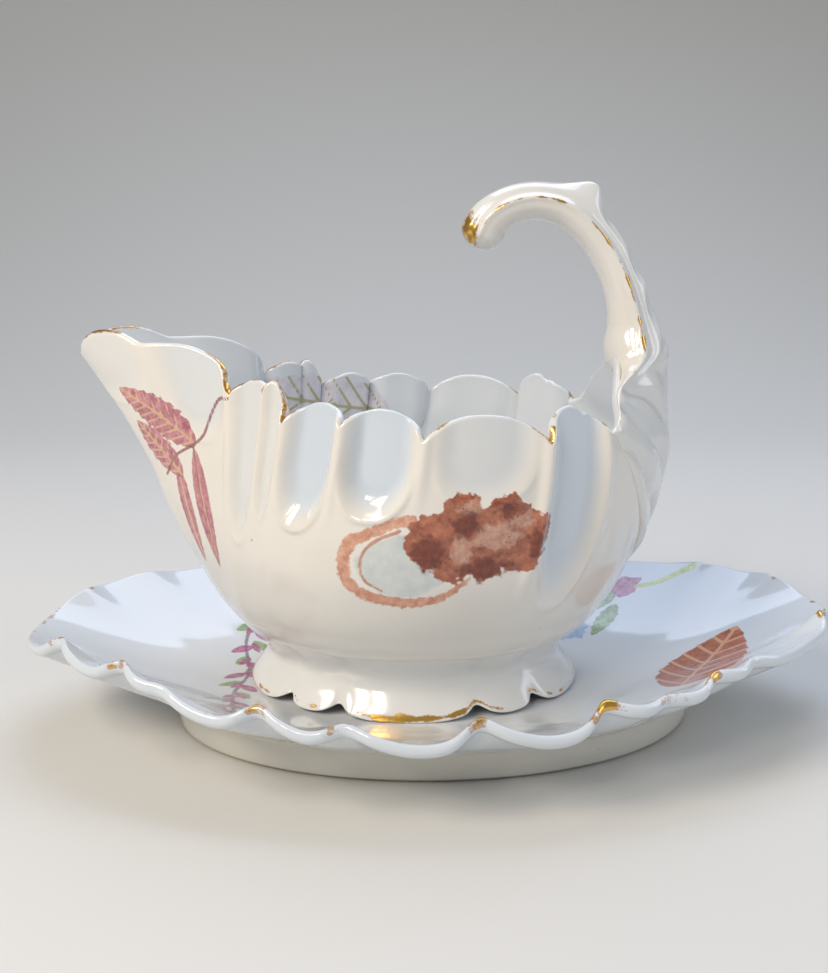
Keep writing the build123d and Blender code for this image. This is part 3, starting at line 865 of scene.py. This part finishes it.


# Glazed porcelain: a white body fired under a clear glaze, which gives a hard mirror shine that wavers
# a little, a soft warm white with a bluish cast, partly where the glaze has pooled and partly painted
# sky reflection and painted cool shade, and a few iron specks.
def glazedPorcelain(name, paint=None, body=glaze["body"], mottle=glaze["mottle"]):
    material = bpy.data.materials.new(name)
    material.use_nodes = True
    tree = material.node_tree
    tree.nodes.clear()
    place = addNode(tree, "ShaderNodeTexCoord").outputs["Object"]
    cloud = addNode(tree, "ShaderNodeTexNoise", {
        "Vector": place, "Scale": 1 / (glaze["mottleSize"] * mm), "Detail": 2.0})
    colour = addNode(tree, "ShaderNodeMix", {
        "Factor": cloud.outputs["Fac"], 6: linear(body), 7: linear(mottle)}, data_type="RGBA").outputs[2]
    # bluish tint: glaze pooled in the hollows, and painted sky reflection and painted cool shade
    poolAndPaintedSkyLight = addNode(tree, "ShaderNodeAttribute", attribute_name="poolAndPaintedSkyLight")
    colour = addNode(tree, "ShaderNodeMix", {
        "Factor": poolAndPaintedSkyLight.outputs["Fac"], 6: colour, 7: linear(glaze["poolAndPaintedSkyLight"])}, data_type="RGBA").outputs[2]
    # each speck is about a third of a millimetre across
    cells = addNode(tree, "ShaderNodeTexVoronoi", {
        "Vector": place, "Scale": 1 / (glaze["speckSpacing"] * mm), "Randomness": 1.0})
    speck = addNode(tree, "ShaderNodeMapRange", {
        "Value": cells.outputs["Distance"], "From Min": 0.012, "From Max": 0.024,
        "To Min": 0.75, "To Max": 0.0})
    colour = addNode(tree, "ShaderNodeMix", {
        "Factor": speck.outputs[0], 6: colour, 7: linear(glaze["speck"])}, data_type="RGBA").outputs[2]
    if paint:
        colour = paint(tree, colour, place)
    # worn gilding: bright gold where it survives, a brown trace where it has rubbed thin
    gilt = addNode(tree, "ShaderNodeAttribute", attribute_name="gilt")
    wear = addNode(tree, "ShaderNodeTexNoise", {
        "Vector": place, "Scale": 1 / (glaze["goldGrain"] * mm), "Detail": 6.0, "Roughness": 0.65})
    kept = addNode(tree, "ShaderNodeMath", {0: wear.outputs["Fac"], 1: 2.2, 2: gilt.outputs["Fac"]},
                   operation="MULTIPLY_ADD")
    trace = addNode(tree, "ShaderNodeMapRange", {
        "Value": kept.outputs[0], "From Min": 1.12, "From Max": 1.3, "To Max": 0.75})
    bright = addNode(tree, "ShaderNodeMapRange", {
        "Value": kept.outputs[0], "From Min": 1.36, "From Max": 1.5})
    for layer, gold in ((trace, "oldGold"), (bright, "gold")):
        colour = addNode(tree, "ShaderNodeMix", {
            "Factor": layer.outputs[0], 6: colour, 7: linear(glaze[gold])}, data_type="RGBA").outputs[2]
    # the glaze's slow waver, a few hundredths of a millimetre deep
    wave = addNode(tree, "ShaderNodeTexNoise", {
        "Vector": place, "Scale": 1 / (glaze["waveSize"] * mm), "Detail": 1.5})
    bump = addNode(tree, "ShaderNodeBump", {
        "Height": wave.outputs["Fac"], "Strength": 0.35, "Distance": 0.12 * mm})
    shine = addNode(tree, "ShaderNodeMapRange", {
        "Value": wear.outputs["Fac"], "From Min": 0.3, "From Max": 0.7,
        "To Min": glaze["roughness"] * 0.8, "To Max": glaze["roughness"] * 1.6})
    dull = addNode(tree, "ShaderNodeMath", {0: trace.outputs[0], 1: 0.16, 2: shine.outputs[0]},
                   operation="MULTIPLY_ADD")
    shader = addNode(tree, "ShaderNodeBsdfPrincipled", {
        "Base Color": colour, "Metallic": bright.outputs[0], "Roughness": dull.outputs[0],
        "Normal": bump.outputs[0], "IOR": 1.52, "Coat Weight": 0.35, "Coat Roughness": 0.04})
    addNode(tree, "ShaderNodeOutputMaterial", {"Surface": shader.outputs[0]})
    print(name, "mixed")
    return material


# Overglaze enamels, brushed and stippled on and fired again, which leaves them soft-edged and glossy.
def bowlEnamels(tree, colour, place):
    colour = paintOver(tree, colour, place, "oval", "#b4c3c8", "#d3d9d8", 0.7, 0.5, 0.5, 4.0)
    colour = paintOver(tree, colour, place, "salmon", "#bb6a45", "#e0ab8d", 0.88, 0.3, 1.0, 2.2)
    colour = paintOver(tree, colour, place, "salmonEdge", "#a85a3a", "#cf8c6c", 0.8, 0.15, 0.3, 2.0)
    colour = paintOver(tree, colour, place, "rust", "#843a24", "#bf7350", 0.97, 0.3, 1.3, 2.4)
    colour = paintOver(tree, colour, place, "rustLight", "#c08b74", "#dcb9a6", 0.7, 0.8, 1.6, 1.5)
    colour = paintOver(tree, colour, place, "rustDark", "#4c1c13", "#84351f", 0.85, 0.9, 1.6, 1.5)
    colour = stippleOver(tree, colour, place, "rust", "#3b1710", 1.1, 0.7)
    colour = paintOver(tree, colour, place, "mauve", "#9a4a5e", "#cf8f97", 0.95, 0.15, 0.3, 2.2)
    colour = lineOver(tree, colour, "mauve", "mauveVein", "#ddb98e", 0.42, 0.75)
    colour = paintOver(tree, colour, place, "stem", "#7d4a4a", "#a87672", 0.9, 0.12, 0.1, 2.0)
    colour = paintOver(tree, colour, place, "innerLeaf", "#b496ae", "#e6e0e2", 0.4, 0.25, 0.8, 2.6)
    return lineOver(tree, colour, "innerLeaf", "innerVein", "#a49c5c", 0.6, 0.8)


def plateEnamels(tree, colour, place):
    colour = paintOver(tree, colour, place, "greyLeaf", "#8d98a8", "#b8c4d2", 0.7, 0.4, 0.5, 3.0)
    colour = paintOver(tree, colour, place, "feather", "#3f4a3c", "#74806e", 0.9, 0.2, 0.4, 1.6)
    colour = lineOver(tree, colour, "feather", "featherRib", "#a9b79c", 0.3, 0.6)
    colour = paintOver(tree, colour, place, "greens", "#5f7d4c", "#a8bf84", 0.85, 0.25, 0.4, 2.0)
    colour = paintOver(tree, colour, place, "spray", "#6e5468", "#95809a", 0.8, 0.2, 0.3, 2.0)
    colour = paintOver(tree, colour, place, "pinks", "#8d3f68", "#c987a8", 0.9, 0.25, 0.4, 2.0)
    colour = paintOver(tree, colour, place, "lime", "#a9b34a", "#d3dd86", 0.85, 0.4, 0.4, 2.4)
    colour = paintOver(tree, colour, place, "blueFlower", "#7f9cc4", "#b9cce4", 0.75, 0.5, 0.6, 2.4)
    colour = paintOver(tree, colour, place, "russet", "#8f3c22", "#c4714c", 0.95, 0.3, 0.5, 2.2)
    return lineOver(tree, colour, "russet", "russetVein", "#e0ab8c", 0.75, 0.85)


# The ring's land is wiped clean of glaze before firing and stays as matt, gritty biscuit.
def biscuitLand(tree, colour, place):
    return paintOver(tree, colour, place, "land", "#b3a48c", "#cfc4b0", 0.9, 0.2, 0.2, 0.8)


finishes = (
    (bowlPiece, "glazedPorcelainWithRustAndMauveEnamels", bowlEnamels),
    (footPiece, "glazedPorcelainGiltEdge"),
    (handlePiece, "glazedPorcelainPressMoulded"),
    (platePiece, "glazedPorcelainWithFlowerSprays", plateEnamels, "#e6e6e4", "#dedfe0"),
    (ringPiece, "glazedPorcelainWithBiscuitLand", biscuitLand, "#e4e0d4", "#dcd7c9"),
)
for piece, *recipe in finishes:
    piece.data.materials.append(glazedPorcelain(*recipe))

# A plain paper sweep under soft light. Its sizes are in metres.
studio = {
    "floor": "#dad8d3",
    "floorSize": 6.0,
    "bend": 0.5,
    "bendRadius": 0.9,
    "bendSteps": 24,
    "sky": "#dfe6ee",
    "skyStrength": 0.42,
    # name, place, what it looks at, size, power and colour
    "softboxes": (
        ("keySoftbox", (-0.6, -0.45, 0.7), (0.0, 0.0, 0.06), (0.36, 0.36), 5.2, "#fff1df"),
        ("paneLeft", (-0.36, -0.62, 0.56), (0.0, 0.0, 0.07), (0.07, 0.16), 0.8, "#fff6ea"),
        ("paneRight", (-0.26, -0.68, 0.56), (0.0, 0.0, 0.07), (0.07, 0.16), 0.8, "#fff6ea"),
        ("topSoftbox", (0.1, 0.4, 0.95), (0.0, 0.0, 0.05), (0.9, 0.6), 4.8, "#d6e4ff"),
        ("sideSoftbox", (0.75, -0.1, 0.4), (0.0, 0.0, 0.06), (0.25, 0.6), 1.3, "#eaf1ff"),
    ),
}


# Matt paper, which gives the piece a soft shadow and no reflection of its own.
def paperSweep():
    material = bpy.data.materials.new("paperSweep")
    material.use_nodes = True
    shader = material.node_tree.nodes["Principled BSDF"]
    shader.inputs["Base Color"].default_value = linear(studio["floor"])
    shader.inputs["Roughness"].default_value = 0.75
    return material


def makeSweep():
    half, bend, radius, steps = (studio["floorSize"] / 2, studio["bend"], studio["bendRadius"],
                                 studio["bendSteps"])
    # the paper runs flat under the piece and curves up far behind it
    profile = [(-half, 0.0), (bend, 0.0)]
    for k in range(1, steps + 1):
        t = math.pi / 2 * k / steps
        profile.append((bend + radius * math.sin(t), radius * (1 - math.cos(t))))
    profile.append((profile[-1][0], half))
    points = [(side * half, y, z) for y, z in profile for side in (-1, 1)]
    faces = [(2 * k, 2 * k + 1, 2 * k + 3, 2 * k + 2) for k in range(len(profile) - 1)]
    mesh = bpy.data.meshes.new("floor")
    mesh.from_pydata(points, [], faces)
    mesh.shade_smooth()
    mesh.materials.append(paperSweep())
    floor = bpy.data.objects.new("floor", mesh)
    floor.location.z = -0.0002       # just clear of the foot ring, so that the two don't flicker
    bpy.context.scene.collection.objects.link(floor)


def makeLights():
    for name, place, target, size, power, colour in studio["softboxes"]:
        light = bpy.data.lights.new(name, "AREA")
        light.shape = "RECTANGLE"
        light.size, light.size_y = size
        light.energy = power
        light.color = linear(colour)[:3]
        lamp = bpy.data.objects.new(name, light)
        lamp.location = place
        aim = np.array(target) - np.array(place)
        pitch = math.atan2(math.hypot(aim[0], aim[1]), -aim[2])
        lamp.rotation_euler = (pitch, 0, math.atan2(-aim[0], aim[1]))
        bpy.context.scene.collection.objects.link(lamp)
    world = bpy.data.worlds.new("studio")
    world.use_nodes = True
    background = world.node_tree.nodes["Background"]
    background.inputs["Color"].default_value = linear(studio["sky"])
    background.inputs["Strength"].default_value = studio["skyStrength"]
    bpy.context.scene.world = world
    bpy.context.scene.view_settings.view_transform = "Standard"


makeSweep()
makeLights()
print("sweep and lights set up")

# metres from the boat's middle, degrees, and the lens in mm
view = {
    "right": -0.00455,
    "back": 0.2814,
    "up": 0.1197,
    "down": 11.3,
    "turn": 1.4,
    "roll": 0.42,
    "lens": 39.06,
}
cameraData = bpy.data.cameras.new("camera")
cameraData.lens = view["lens"]
cameraData.clip_start = 0.01
camera = bpy.data.objects.new("camera", cameraData)
down, turned, roll = (math.radians(view[key]) for key in ("down", "turn", "roll"))
camera.location = (view["right"] * math.cos(turned) + view["back"] * math.sin(turned),
                   view["right"] * math.sin(turned) - view["back"] * math.cos(turned), view["up"])
camera.rotation_euler = (math.pi / 2 - down, roll, turned)
bpy.context.scene.collection.objects.link(camera)
bpy.context.scene.camera = camera
print("camera set up")
